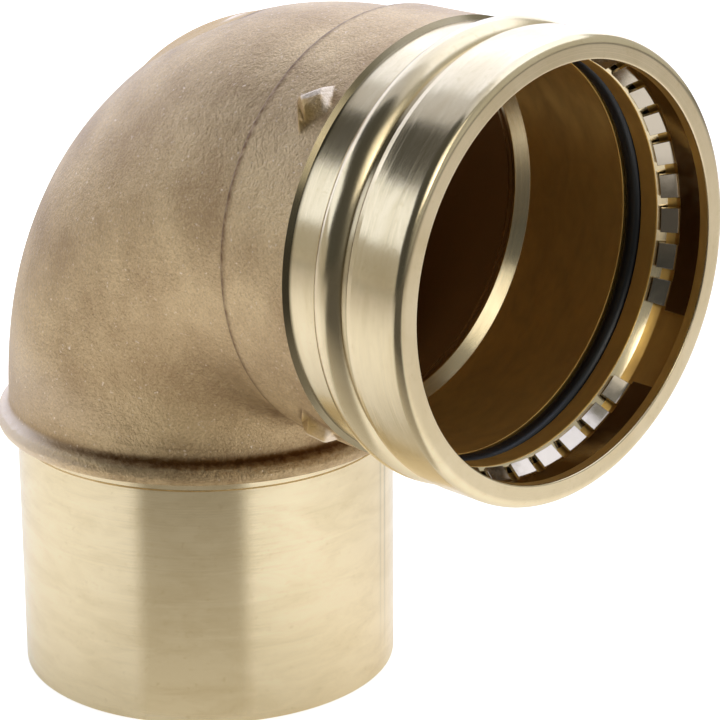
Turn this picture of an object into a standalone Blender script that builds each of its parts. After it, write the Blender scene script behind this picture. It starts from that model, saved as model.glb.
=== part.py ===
"""Ninety degree press elbow of cast bronze: a spigot that points down and a press socket along +X.

The origin is on the ground under the middle of the elbow, and the spigot stands on its end at z = 0.
Lengths along the spigot are heights above that end. Lengths along the socket count from the spigot's axis.
"""

from math import acos, cos, pi, radians, sin, tan

import bmesh
import bpy
from mathutils import Matrix, Vector

MM = 0.001

# Tube that the fitting joins
TUBE_RADIUS = 54.0 * MM

# Spigot, machined to the tube's own diameter
SPIGOT_WALL = 2.8 * MM
SPIGOT_LENGTH = 70.2 * MM
SPIGOT_EDGE_ROUNDING = 1.2 * MM
SPIGOT_INNER_CHAMFER = 0.8 * MM
RELIEF_WIDTH = 1.8 * MM
RELIEF_DEPTH = 0.3 * MM

# Cast bead that runs round the foot of the bend
COLLAR_RISE = 3.6 * MM
COLLAR_ROUNDING = 2.5 * MM
COLLAR_TOP_ANGLE = radians(62.0)
COLLAR_LOW_ANGLE = radians(-56.0)
COLLAR_UNDERSIDE = 4.1 * MM
COLLAR_TO_BEND = 6.15 * MM
COLLAR_NECK_RISE = 0.5 * MM
COLLAR_NECK_HEIGHT = 3.5 * MM

# Bend
THROAT_RADIUS = 7.9 * MM
BEND_WALL = 4.9 * MM
BEND_STEPS = 12

# Boss: the cast end of the socket, thicker than the bend
NECK_LENGTH = 6.0 * MM
BOSS_WALL = 7.6 * MM
BOSS_DRAFT = 0.5 * MM
BOSS_LENGTH = 25.9 * MM
BOSS_FAIRING = 2.6 * MM
FAIRING_ROOT = 0.7 * MM
SHOULDER_LENGTH = 1.1 * MM

# Cast lugs round the boss
LUG_LENGTH = 13.0 * MM
LUG_WIDTH = 19.0 * MM
LUG_RISE = 2.9 * MM
LUG_ROOT = 1.9 * MM
LUG_TOP_SHARE = 0.45
LUG_FACE_SLOPE = 0.8 * MM
LUG_ROUNDING = 0.7 * MM
LUG_TO_SHOULDER = 2.9 * MM
LUG_ANGLE = radians(44.0)

# Ground pad where the casting's gate was cut off
PAD_MIDDLE = radians(57.5)
PAD_HALF_ANGLE = radians(15.0)
PAD_RISE = 1.8 * MM
PAD_RADIUS = 33.0 * MM
PAD_TAPER = 2.6 * MM

# Socket bore
STOP_SETBACK = 5.8 * MM
STOP_CHAMFER = 1.7 * MM
STOP_TAPER = 2.4 * MM
STOP_TAPER_RISE = 1.2 * MM
INSERTION_DEPTH = 63.02 * MM
TUBE_CLEARANCE = 0.4 * MM
SOCKET_WALL = 3.6 * MM

# Seal and its groove
SEAL_SECTION_RADIUS = 2.75 * MM
SEAL_SQUEEZE = 0.3 * MM
SEAL_CLEARANCE = 0.3 * MM
SEAL_TO_MOUTH = 26.12 * MM
GROOVE_CORNER = 1.7 * MM
BEAD_WALL = 2.4 * MM
BEAD_OFFSET = 0.7 * MM
VALLEY_DEPTH = 2.9 * MM
VALLEY_WIDTH = 1.6 * MM

# Cutting ring and its chamber
RING_THICKNESS = 0.95 * MM
RING_BAND_LENGTH = 7.4 * MM
RING_CLEARANCE = 0.3 * MM
TOOTH_LEAN = radians(40.0)
TOOTH_BEND = 4.0 * MM
TOOTH_CLEARANCE = 0.3 * MM
TOOTH_PLACES = 36
SLOT_ANGLE = radians(3.0)
SPLIT_TEETH = 2
SPLIT_ANGLE = radians(21.0)
SPLIT_CENTRE = radians(-35.9)
CHAMBER_WALL = 2.8 * MM
CHAMBER_CONE_LENGTH = 3.6 * MM
CHAMBER_CONE_OFFSET = 3.0 * MM
LIP_LENGTH = 3.12 * MM
LIP_CLEARANCE = 1.0 * MM
CHAMBER_UNDERCUT = 3.6 * MM
LIP_CHAMFER = 0.5 * MM
MOUTH_ROUNDING = 2.5 * MM
BARREL_RAMP_LENGTH = 1.9 * MM
BARREL_CREST_LENGTH = 4.7 * MM
BARREL_CREST_DROP = 0.15 * MM
BARREL_RAMP_DROP = 0.45 * MM

# Facets round the turned shapes, and how far one solid reaches into the next
SEGMENTS = 48
SEAL_SEGMENTS = 48
SEAL_SECTION_SEGMENTS = 10
OVERLAP = 2.0 * MM
CUTTER_REACH = 5.0 * MM

# Radii
bore_radius = TUBE_RADIUS - SPIGOT_WALL
bend_outer = bore_radius + BEND_WALL
bend_radius = THROAT_RADIUS + bend_outer
collar_radius = bend_outer + COLLAR_RISE
boss_radius = bore_radius + BOSS_WALL
boss_end_radius = boss_radius + BOSS_DRAFT
seat_radius = TUBE_RADIUS + TUBE_CLEARANCE
band_radius = seat_radius + SOCKET_WALL
seal_radius = TUBE_RADIUS - SEAL_SQUEEZE + SEAL_SECTION_RADIUS
groove_radius = seal_radius + SEAL_SECTION_RADIUS + SEAL_CLEARANCE
bead_rounding = SEAL_SECTION_RADIUS + SEAL_CLEARANCE + BEAD_WALL
bead_radius = seal_radius + bead_rounding
valley_radius = bead_radius - VALLEY_DEPTH
lip_radius = TUBE_RADIUS + LIP_CLEARANCE
chamber_radius = lip_radius + CHAMBER_UNDERCUT
ring_outer = chamber_radius - RING_CLEARANCE
barrel_radius = chamber_radius + CHAMBER_WALL

# Heights up the spigot
relief_top = SPIGOT_LENGTH + RELIEF_WIDTH
collar_height = relief_top + COLLAR_UNDERSIDE
bend_start = collar_height + COLLAR_TO_BEND
socket_height = bend_start + bend_radius

# Places along the socket
boss_start = bend_radius + NECK_LENGTH
stop = boss_start + STOP_SETBACK
boss_end = boss_start + BOSS_LENGTH
mouth = stop + INSERTION_DEPTH
seal_place = mouth - SEAL_TO_MOUTH
groove_half_width = SEAL_SECTION_RADIUS + SEAL_CLEARANCE
bead_place = seal_place - BEAD_OFFSET
chamber_end = mouth - LIP_LENGTH
ring_front = chamber_end - RING_CLEARANCE
ring_back = ring_front - RING_BAND_LENGTH
cone_top = ring_back - CHAMBER_CONE_OFFSET

# The spigot's axis, so that the origin lies under the middle of the elbow
spigot_x = (collar_radius - mouth) / 2


def arc(radius, height, rounding, start, end, steps):
    """Points of an arc about (radius, height); its angles count from outward toward the top."""
    turns = [start + (end - start) * i / steps for i in range(steps + 1)]
    return [(radius + rounding * cos(t), height + rounding * sin(t)) for t in turns]


def link(obj, collection):
    for old in obj.users_collection:
        old.objects.unlink(obj)
    collection.objects.link(obj)
    return obj


def make_helper(obj):
    """Hides a solid that only shapes another one."""
    obj.hide_render = True
    obj.display_type = "WIRE"
    return link(obj, helpers)


def principled(name, colour, roughness, metallic):
    material = bpy.data.materials.new(name)
    material.use_nodes = True
    shader = material.node_tree.nodes["Principled BSDF"]
    shader.inputs["Base Color"].default_value = (*colour, 1.0)
    shader.inputs["Roughness"].default_value = roughness
    shader.inputs["Metallic"].default_value = metallic
    material.diffuse_color = (*colour, 1.0)
    return material


def shade(obj, material, angle=radians(30.0)):
    obj.data.materials.append(material)
    obj.data.shade_smooth()
    obj.data.set_sharp_from_angle(angle=angle)
    return obj


def new_object(name, bm):
    mesh = bpy.data.meshes.new(name)
    bm.to_mesh(mesh)
    bm.free()
    return bpy.data.objects.new(name, mesh)


def turned(name, profile, material, closed=False, segments=SEGMENTS):
    """Turns a profile of (radius, height) points, which runs down its outer side, about local Z."""
    bm = bmesh.new()
    points = [bm.verts.new((radius, 0.0, height)) for radius, height in profile]
    for first, second in zip(points, points[1:]):
        bm.edges.new((first, second))
    if closed:
        bm.edges.new((points[-1], points[0]))
    obj = new_object(name, bm)
    obj.data.materials.append(material)
    screw = obj.modifiers.new("Turn", "SCREW")
    screw.steps = segments
    screw.render_steps = segments
    screw.use_merge_vertices = True
    screw.merge_threshold = 0.0001
    screw.use_smooth_shade = True
    return obj


def lay_along_socket(obj, roll=0.0):
    """Puts a turned solid's local Z on the socket's axis, rolled about that axis."""
    turn = Matrix.Rotation(pi / 2, 4, "Y") @ Matrix.Rotation(roll, 4, "Z")
    obj.location = (spigot_x, 0.0, socket_height)
    obj.rotation_euler = turn.to_euler()
    return obj


def bend_point(angle, radius):
    """Point at a radius from the bend's centre; the angle runs from the spigot to the socket."""
    return Vector((bend_radius - radius * cos(angle), 0.0, bend_start + radius * sin(angle)))


def tube(name, points, radii, material):
    """A round tube along a path in the spigot axis's frame, as a closed mesh."""
    curve = bpy.data.curves.new(name + "_path", "CURVE")
    curve.dimensions = "3D"
    curve.bevel_depth = 1.0
    # A curve's round section has four sides more than twice its resolution.
    curve.bevel_resolution = (SEGMENTS - 4) // 2
    curve.use_fill_caps = True
    spline = curve.splines.new("POLY")
    spline.points.add(len(points) - 1)
    for point, place, radius in zip(spline.points, points, radii):
        point.co = (*place, 1.0)
        point.radius = radius
    path = bpy.data.objects.new(name + "_path", curve)
    path.location = (spigot_x, 0.0, 0.0)
    parts.objects.link(path)
    graph = bpy.context.evaluated_depsgraph_get()
    mesh = bpy.data.meshes.new_from_object(path.evaluated_get(graph))
    bm = bmesh.new()
    bm.from_mesh(mesh)
    bmesh.ops.remove_doubles(bm, verts=bm.verts, dist=0.00001)
    bm.to_mesh(mesh)
    bm.free()
    obj = bpy.data.objects.new(name, mesh)
    obj.matrix_world = path.matrix_world.copy()
    bpy.data.objects.remove(path)
    mesh.materials.clear()
    return shade(obj, material)


def boolean(obj, other, operation):
    modifier = obj.modifiers.new(other.name, "BOOLEAN")
    modifier.operation = operation
    modifier.solver = "EXACT"
    modifier.material_mode = "TRANSFER"
    modifier.object = other


def bend_path(reach):
    """The bend's centre line, drawn out at both ends; reach says how far along each leg."""
    turns = [pi / 2 * i / BEND_STEPS for i in range(BEND_STEPS + 1)]
    path = [bend_point(turn, bend_radius) for turn in turns]
    low, far = reach
    return [Vector((0.0, 0.0, low))] + path + [Vector((far, 0.0, socket_height))]


def spigot_blank():
    """Machined spigot and cast collar, solid; its top crosses the bend's surface inside the neck."""
    collar_centre = collar_radius - COLLAR_ROUNDING
    neck_top = collar_height + COLLAR_NECK_HEIGHT
    neck_radius = bend_outer + COLLAR_NECK_RISE
    relief_radius = TUBE_RADIUS - RELIEF_DEPTH
    edge = arc(
        TUBE_RADIUS - SPIGOT_EDGE_ROUNDING, SPIGOT_EDGE_ROUNDING, SPIGOT_EDGE_ROUNDING, 0.0, -pi / 2, 3
    )
    profile = [
        (0.0, neck_top + OVERLAP),
        (neck_radius - OVERLAP, neck_top + OVERLAP),
        (neck_radius, neck_top),
        *arc(collar_centre, collar_height, COLLAR_ROUNDING, COLLAR_TOP_ANGLE, COLLAR_LOW_ANGLE, 6),
        (TUBE_RADIUS + COLLAR_NECK_RISE, collar_height - COLLAR_NECK_HEIGHT),
        (relief_radius, relief_top),
        (relief_radius, SPIGOT_LENGTH + RELIEF_DEPTH),
        (TUBE_RADIUS, SPIGOT_LENGTH),
        *edge,
        (0.0, 0.0),
    ]
    blank = turned("elbow_body", profile, machined)
    blank.location = (spigot_x, 0.0, 0.0)
    return link(blank, parts)


def bend_blank():
    """The cast bend, from inside the collar to inside the boss."""
    path = bend_path((collar_height, boss_start + NECK_LENGTH + OVERLAP))
    return make_helper(tube("bend_blank", path, [bend_outer] * len(path), cast))


def socket_blank():
    """Boss, shoulder, band, seal bead, valley and barrel of the socket, solid."""
    bead_front = acos((valley_radius - seal_radius) / bead_rounding)
    bead_back = -acos((band_radius - seal_radius) / bead_rounding)
    valley_start = bead_place + bead_rounding * sin(bead_front) + VALLEY_WIDTH
    ramp_top = valley_start + BARREL_RAMP_LENGTH
    barrel_start = ramp_top + BARREL_CREST_LENGTH
    fairing = arc(
        boss_radius - BOSS_FAIRING, boss_start + BOSS_FAIRING, BOSS_FAIRING, 0.0, -pi / 2, 4
    )
    profile = [
        (0.0, mouth),
        *arc(barrel_radius - MOUTH_ROUNDING, mouth - MOUTH_ROUNDING, MOUTH_ROUNDING, pi / 2, 0.0, 4),
        (barrel_radius, barrel_start),
        (barrel_radius - BARREL_CREST_DROP, (ramp_top + barrel_start) / 2),
        (barrel_radius - BARREL_RAMP_DROP, ramp_top),
        (valley_radius, valley_start),
        *arc(seal_radius, bead_place, bead_rounding, bead_front, bead_back, 8),
        (band_radius, boss_end + SHOULDER_LENGTH),
        (boss_end_radius, boss_end),
        *fairing,
        (bend_outer - OVERLAP / 2, boss_start - FAIRING_ROOT),
        (0.0, boss_start - FAIRING_ROOT),
    ]
    return make_helper(lay_along_socket(turned("socket_blank", profile, machined)))


def lug(name, mesh, angle):
    """One of the cast lugs, turned about the socket's axis from straight up."""
    obj = bpy.data.objects.new(name, mesh)
    obj.location = (spigot_x, 0.0, socket_height)
    obj.rotation_euler = (angle, 0.0, 0.0)
    bevel = obj.modifiers.new("Rounding", "BEVEL")
    bevel.width = LUG_ROUNDING
    bevel.segments = 2
    return make_helper(obj)


def lug_mesh():
    """A three-sided wedge that points to the bend and stands steep toward the shoulder."""
    bm = bmesh.new()
    bmesh.ops.create_cone(
        bm, cap_ends=True, segments=3, radius1=1.0, radius2=LUG_TOP_SHARE, depth=LUG_ROOT + LUG_RISE
    )
    bmesh.ops.rotate(bm, verts=bm.verts, matrix=Matrix.Rotation(pi / 2, 3, "Z"))
    # A triangle drawn in a unit circle is 1.5 long and the square root of 3 wide.
    bmesh.ops.scale(bm, verts=bm.verts, vec=(LUG_LENGTH / 1.5, LUG_WIDTH / 3**0.5, 1.0))
    top = [vert for vert in bm.verts if vert.co.z > 0.0]
    lean = LUG_LENGTH / 3 * (1.0 - LUG_TOP_SHARE) - LUG_FACE_SLOPE
    bmesh.ops.translate(bm, verts=top, vec=(lean, 0.0, 0.0))
    middle = Vector(
        (
            boss_end - LUG_TO_SHOULDER - LUG_LENGTH / 3,
            0.0,
            boss_end_radius + (LUG_RISE - LUG_ROOT) / 2,
        )
    )
    bmesh.ops.translate(bm, verts=bm.verts, vec=middle)
    mesh = bpy.data.meshes.new("lug")
    bm.to_mesh(mesh)
    bm.free()
    mesh.materials.append(cast)
    return mesh


def gate_pad():
    """A shallow pad on the outside of the bend, in planes that the bend's own facets share."""
    step = pi / 2 / BEND_STEPS
    first = round((PAD_MIDDLE - PAD_HALF_ANGLE) / step)
    last = round((PAD_MIDDLE + PAD_HALF_ANGLE) / step)
    centre_line = bend_radius + bend_outer + PAD_RISE - PAD_RADIUS
    turns = [step * i for i in range(first, last + 1)]
    path = [bend_point(turn, centre_line) for turn in turns]
    off = [abs(2 * i / (last - first) - 1.0) for i in range(last - first + 1)]
    radii = [PAD_RADIUS - PAD_TAPER * share**2 for share in off]
    return make_helper(tube("gate_pad", path, radii, cast))


def waterway():
    """The round way through the elbow, from below the spigot to inside the socket."""
    path = bend_path((-CUTTER_REACH, boss_start + NECK_LENGTH + OVERLAP))
    return make_helper(tube("waterway", path, [bore_radius] * len(path), cast))


def spigot_chamfer():
    profile = [
        (0.0, SPIGOT_INNER_CHAMFER + OVERLAP),
        (bore_radius - OVERLAP, SPIGOT_INNER_CHAMFER + OVERLAP),
        (bore_radius + SPIGOT_INNER_CHAMFER + OVERLAP, -OVERLAP),
        (0.0, -OVERLAP),
    ]
    cutter = turned("spigot_chamfer", profile, machined)
    cutter.location = (spigot_x, 0.0, 0.0)
    return make_helper(cutter)


def socket_bore():
    """Everything that is turned out of the socket, from the mouth down to the stop."""
    front = seal_place + groove_half_width
    back = seal_place - groove_half_width
    half = GROOVE_CORNER / 2
    taper_start = stop - STOP_CHAMFER - STOP_TAPER
    taper_radius = seat_radius - STOP_CHAMFER - STOP_TAPER_RISE
    profile = [
        (0.0, mouth + OVERLAP),
        (lip_radius + LIP_CHAMFER + OVERLAP, mouth + OVERLAP),
        (lip_radius, mouth - LIP_CHAMFER),
        (lip_radius, chamber_end),
        (chamber_radius, chamber_end),
        (chamber_radius, cone_top),
        (seat_radius, cone_top - CHAMBER_CONE_LENGTH),
        (seat_radius, front),
        (groove_radius - GROOVE_CORNER, front),
        (groove_radius - half / 2, front - half),
        (groove_radius, front - GROOVE_CORNER),
        (groove_radius, back + GROOVE_CORNER),
        (groove_radius - half / 2, back + half),
        (groove_radius - GROOVE_CORNER, back),
        (seat_radius, back),
        (seat_radius, stop),
        (seat_radius - STOP_CHAMFER, stop - STOP_CHAMFER),
        (taper_radius, taper_start),
        (taper_radius - OVERLAP / 2, taper_start - OVERLAP / 2),
        (0.0, taper_start - OVERLAP / 2),
    ]
    return make_helper(lay_along_socket(turned("socket_bore", profile, machined)))


def elbow_body():
    body = spigot_blank()
    boolean(body, bend_blank(), "UNION")
    boolean(body, socket_blank(), "UNION")
    shape = lug_mesh()
    angles = {
        "lug_upper_left": LUG_ANGLE,
        "lug_lower_left": pi - LUG_ANGLE,
        "lug_upper_right": -LUG_ANGLE,
        "lug_lower_right": LUG_ANGLE - pi,
    }
    for name, angle in angles.items():
        boolean(body, lug(name, shape, angle), "UNION")
    boolean(body, gate_pad(), "UNION")
    boolean(body, waterway(), "DIFFERENCE")
    boolean(body, spigot_chamfer(), "DIFFERENCE")
    boolean(body, socket_bore(), "DIFFERENCE")


def o_ring():
    bpy.ops.mesh.primitive_torus_add(
        major_segments=SEAL_SEGMENTS,
        minor_segments=SEAL_SECTION_SEGMENTS,
        major_radius=seal_radius,
        minor_radius=SEAL_SECTION_RADIUS,
    )
    seal = bpy.context.object
    seal.name = "o_ring"
    shade(lay_along_socket(seal), rubber, angle=pi)
    seal.location.x += seal_place
    link(seal, parts)


def sector(bm, centre, width, inner, outer, low, high):
    """Adds a wedge-sided block between two radii and two heights about local Z."""
    corners = bmesh.ops.create_cube(bm, size=2.0)["verts"]
    for corner in corners:
        radius = outer if corner.co.x > 0 else inner
        along = high if corner.co.z > 0 else low
        corner.co = (radius, corner.co.y * radius * tan(width / 2), along)
    bmesh.ops.rotate(bm, verts=corners, matrix=Matrix.Rotation(centre, 3, "Z"))


def cutting_ring():
    """A split band whose one edge is slotted into teeth, which lean in and back toward the seal."""
    ring_inner = ring_outer - RING_THICKNESS
    bend_centre = ring_inner - TOOTH_BEND
    across = Vector((cos(TOOTH_LEAN), -sin(TOOTH_LEAN)))
    heel = Vector((bend_centre, ring_back)) + across * TOOTH_BEND
    tip_radius = TUBE_RADIUS + TOOTH_CLEARANCE
    reach = (heel.x - tip_radius) / sin(TOOTH_LEAN)
    tip = heel - Vector((sin(TOOTH_LEAN), cos(TOOTH_LEAN))) * reach
    profile = [
        (ring_outer, ring_front),
        (ring_outer, ring_back),
        tuple(heel + across * RING_THICKNESS),
        tuple(tip + across * RING_THICKNESS),
        tuple(tip),
        tuple(heel),
        (ring_inner, ring_back),
        (ring_inner, ring_front),
    ]
    pitch = 2 * pi / TOOTH_PLACES
    ring = turned("cutting_ring", profile, steel, closed=True, segments=2 * TOOTH_PLACES)
    roll = SPLIT_CENTRE + pi / 2
    lay_along_socket(ring, roll)
    inner = tip_radius - OVERLAP
    outer = ring_outer + OVERLAP
    low = tip.y - OVERLAP
    slots = bmesh.new()
    for place in range(TOOTH_PLACES - SPLIT_TEETH + 1):
        centre = pitch * (SPLIT_TEETH / 2 + place)
        sector(slots, centre, SLOT_ANGLE, inner, outer, low, ring_back)
    boolean(ring, make_helper(lay_along_socket(new_object("tooth_slots", slots), roll)), "DIFFERENCE")
    split = bmesh.new()
    sector(split, 0.0, SPLIT_ANGLE, inner, outer, low, ring_front + OVERLAP)
    boolean(ring, make_helper(lay_along_socket(new_object("ring_split", split), roll)), "DIFFERENCE")
    link(ring, parts)


for old in list(bpy.data.objects):
    bpy.data.objects.remove(old)

parts = bpy.data.collections.new("press_elbow")
helpers = bpy.data.collections.new("cutters")
bpy.context.scene.collection.children.link(parts)
bpy.context.scene.collection.children.link(helpers)

cast = principled("cast_bronze", (0.46, 0.34, 0.23), 0.55, 0.85)
machined = principled("machined_bronze", (0.72, 0.60, 0.36), 0.18, 1.0)
rubber = principled("black_rubber", (0.012, 0.013, 0.014), 0.4, 0.0)
steel = principled("spring_steel", (0.55, 0.53, 0.50), 0.25, 1.0)

elbow_body()
o_ring()
cutting_ring()
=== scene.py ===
"""A ninety degree press elbow of cast bronze, dressed for a studio picture."""

from math import cos, pi, radians, sin

import bpy
import numpy as np
from mathutils import Matrix, Vector


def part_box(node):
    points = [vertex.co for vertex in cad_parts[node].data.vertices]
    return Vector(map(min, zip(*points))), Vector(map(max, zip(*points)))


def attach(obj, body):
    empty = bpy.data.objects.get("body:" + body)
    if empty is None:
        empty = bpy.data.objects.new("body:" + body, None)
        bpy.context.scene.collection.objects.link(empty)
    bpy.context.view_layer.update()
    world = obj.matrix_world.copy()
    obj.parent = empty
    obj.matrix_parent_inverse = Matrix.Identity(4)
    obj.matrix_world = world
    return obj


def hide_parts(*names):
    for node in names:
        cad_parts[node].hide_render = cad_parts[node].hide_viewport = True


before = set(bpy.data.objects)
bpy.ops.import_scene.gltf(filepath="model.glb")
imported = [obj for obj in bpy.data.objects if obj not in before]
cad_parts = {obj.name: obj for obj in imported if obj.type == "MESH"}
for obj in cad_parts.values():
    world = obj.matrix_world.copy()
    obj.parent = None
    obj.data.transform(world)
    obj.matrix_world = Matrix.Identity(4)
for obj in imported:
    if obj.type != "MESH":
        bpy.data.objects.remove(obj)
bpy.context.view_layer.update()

bl_info = {
    "name": "Press Elbow",
    "version": (1, 0, 0),
    "blender": (4, 5, 0),
    "location": "3D View > Sidebar > Elbow",
    "description": "Builds the cast skin, turned ends, seal and cutting ring of a bronze press elbow",
    "category": "Object",
}

MM = 0.001

# In mm. The elbow's centre line counts from the floor, and the socket from the spigot's axis.
SKIN_FOOT = 71.9  # start of the cast skin
BOSS_LENGTH = 31.9  # from the end of the bend to the turned socket
NECK_END = 71.9  # end of the waterway, at the stop
MOUTH = 138.82  # face of the mouth
RELIEF = 0.3  # depth of the spigot's relief groove
SEAL_ROOM = 3.05  # half the width of the seal's groove
FULL_TURN = np.linspace(0.0, 2 * pi, 288, endpoint=False)

# The spigot stands on the floor; the socket's axis is level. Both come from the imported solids.
seal_low, seal_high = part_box("o_ring")
SOCKET_HEIGHT = (seal_low[2] + seal_high[2]) / 2
SPIGOT_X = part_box("elbow_body")[1][0] - MOUTH * MM
SEAL_X = (seal_low[0] + seal_high[0]) / 2 - SPIGOT_X

# Degrees from the outside of the bend to each lug's middle, and which way its long side faces.
LUGS = {44.0: -1.0, -44.0: 1.0, 136.0: 1.0, -136.0: -1.0}

# The gate pad's middle and half length along the bend in degrees, and its face's radius in mm.
PAD_MIDDLE, PAD_REACH, PAD_CROWN = 57.5, 15.5, 33.0

# The cutting ring's teeth and the two ends of its strip, in degrees up from the side at +Y.
TOOTH_COUNT, TOOTH_PITCH, FIRST_TOOTH = 34, 10.0, -20.9
STRIP_START, STRIP_END = -25.4, -46.4 + 360.0

# Each softbox: where it stands and what it faces, its width and height in m, brightness and tint.
SOFTBOXES = {
    "canopy_softbox": ((-0.28, 0.9, 1.4), (-0.28, 0.9, 0.0), 2.45, 1.6, 1.45, "DAE2FF"),
    "canopy_skirt": ((-0.35, -0.12, 1.4), (-0.35, -0.12, 0.0), 2.3, 0.44, 0.65, "E6EAFF"),
    "backdrop_softbox": ((-1.24, 0.72, 0.62), (0.0, 0.0, 0.3), 2.9, 1.25, 1.5, "DEE4FF"),
    "side_softbox": ((-0.99, -0.86, 0.65), (0.0, 0.0, 0.12), 1.2, 0.54, 1.32, "E6EDFF"),
    "side_wall": ((-1.1, -0.95, 0.19), (0.0, 0.0, 0.15), 1.7, 0.42, 0.36, "FFF8EC"),
    "front_softbox": ((1.2, -0.51, 0.96), (0.05, 0.0, 0.15), 0.74, 0.8, 1.15, "FFFBF2"),
    "strip_softbox": ((1.28, -0.35, 0.72), (0.08, 0.0, 0.14), 0.24, 0.36, 2.6, "FFF8EC"),
}

# Each pool of painted glow in the table, with no lamp behind it: its place, the radii where it starts and
# stops fading, its strength.
TABLE_GLOW_POOLS = (
    ((0.0, 0.0, 0.0), 0.2, 0.7, 0.27),
    ((-0.2, -0.22, 0.0), 0.08, 0.32, 0.2),
    ((0.16, -0.02, 0.0), 0.04, 0.2, 0.3),
)

# The camera was fitted to the outlines of the spigot and the socket in the picture.
CAMERA_PLACE = (0.620549, -0.590121, 0.401242)
CAMERA_ACROSS = (0.7044, 0.7098, -0.0061)
CAMERA_UP = (-0.2343, 0.2406, 0.9419)
CAMERA_SENSOR, CAMERA_LENS = 36.0, 163.6
CAMERA_SHIFT = (0.00197, 0.01394)


def linear(code):
    """Linear colour of an sRGB hex value such as 8E7A62."""
    parts = [int(code[i : i + 2], 16) / 255 for i in (0, 2, 4)]
    return tuple(c / 12.92 if c <= 0.04045 else ((c + 0.055) / 1.055) ** 2.4 for c in parts)


def length(name, description, default, least=1.0 * MM):
    """A length that a user may change."""
    return bpy.props.FloatProperty(
        name=name, description=description, default=default, min=least, subtype="DISTANCE", unit="LENGTH"
    )


def colour(name, description, default):
    """A colour that a user may change, given as an sRGB hex value."""
    return bpy.props.FloatVectorProperty(
        name=name, description=description, default=linear(default),
        min=0.0, max=1.0, size=3, subtype="COLOR",
    )


class ElbowSizes(bpy.types.PropertyGroup):
    """Sizes of the elbow's visible skin."""

    tube_radius: length(
        name="Tube radius", description="Outside radius of the tube and the turned spigot", default=54.0 * MM
    )
    core_radius: length(
        name="Core radius", description="Radius of the waterway left by the sand core", default=51.2 * MM
    )
    bend_outer: length(
        name="Bend outer radius", description="Outside radius of the cast bend's section", default=56.1 * MM
    )
    bend_radius: length(name="Bend radius", description="Radius of the bend's centre line", default=64.0 * MM)
    collar_rise: length(
        name="Collar rise", description="How far the bead at the foot of the bend stands out",
        default=3.6 * MM, least=0.0,
    )
    boss_radius: length(
        name="Boss radius", description="Outside radius of the cast boss where it leaves the bend",
        default=58.8 * MM,
    )
    lug_rise: length(
        name="Lug rise", description="How far the four cast lugs stand out of the boss",
        default=2.7 * MM, least=0.0,
    )
    pad_rise: length(
        name="Gate pad rise", description="How far the ground gate pad stands out of the bend",
        default=1.8 * MM, least=0.0,
    )
    bead_radius: length(
        name="Seal bead radius", description="Outside radius of the bead over the seal", default=61.9 * MM
    )
    barrel_radius: length(
        name="Barrel radius", description="Outside radius over the cutting ring's chamber", default=61.4 * MM
    )
    seal_section: length(
        name="Seal section radius", description="Radius of the rubber ring's round section",
        default=2.75 * MM, least=0.1 * MM,
    )
    strip_thickness: length(
        name="Strip thickness", description="Thickness of the steel strip the cutting ring is bent from",
        default=0.95 * MM, least=0.1 * MM,
    )
    tooth_slot: bpy.props.FloatProperty(
        name="Tooth slot", description="Angle of each slot between two teeth",
        default=radians(3.0), min=radians(0.5), max=radians(8.0), subtype="ANGLE", unit="ROTATION",
    )
    floor_size: length(
        name="Floor size", description="Side of the square studio floor", default=8.0, least=1.0
    )


class ElbowColours(bpy.types.PropertyGroup):
    """Colours of the elbow's finishes."""

    cast: colour(name="Cast bronze", description="Blasted sand-cast skin", default="EBD2A5")
    cast_shade: colour(
        name="Cast bronze shade", description="Hollows and sooty patches of the cast skin", default="B69A73"
    )
    turned: colour(
        name="Turned bronze", description="Bright metal of the turned spigot and socket", default="EDDDB8"
    )
    tarnish: colour(
        name="Tarnished bronze", description="Brown specks and wiped patches on the turned metal",
        default="C9B27E",
    )
    # Grime of the scratches, and also the painted shade in the socket's groove.
    grime_and_shade: colour(
        name="Groove grime", description="Dark oil and swarf left in the turned grooves", default="5C5339"
    )
    bored: colour(name="Bored bronze", description="Duller metal of the socket's bore", default="F2C66E")
    # Oxide in the hollows, and also the painted shade of the cast skin.
    oxide_and_shade: colour(
        name="Mould soot", description="Dark oxide left in the hollows of the cast skin", default="6B4A26"
    )
    ground: colour(
        name="Ground bronze", description="Ground faces of the gate pad and the lugs", default="CAA868"
    )
    # The painted highlights and glints of the cast skin.
    highlit: colour(
        name="Highlit bronze", description="Corners and high spots of the cast skin rubbed bright",
        default="F5E4CC",
    )
    core: colour(name="Cored bronze", description="Oxidised wall of the waterway", default="9C7444")
    rubber: colour(name="Seal rubber", description="Black moulded seal", default="14181C")
    strip: colour(name="Stainless strip", description="Rolled steel of the cutting ring", default="C6BBA9")
    floor: colour(name="Floor", description="Pale studio floor", default="F5ECDC")


def ramp(values, start, end):
    """Share that runs from 0 at the start to 1 at the end."""
    return np.clip((values - start) / (end - start), 0.0, 1.0)


def ridge(values, middle, width):
    """Round ridge: 1 at its middle, and about a third at its width to either side."""
    return np.exp(-(((values - middle) / width) ** 2))


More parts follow.
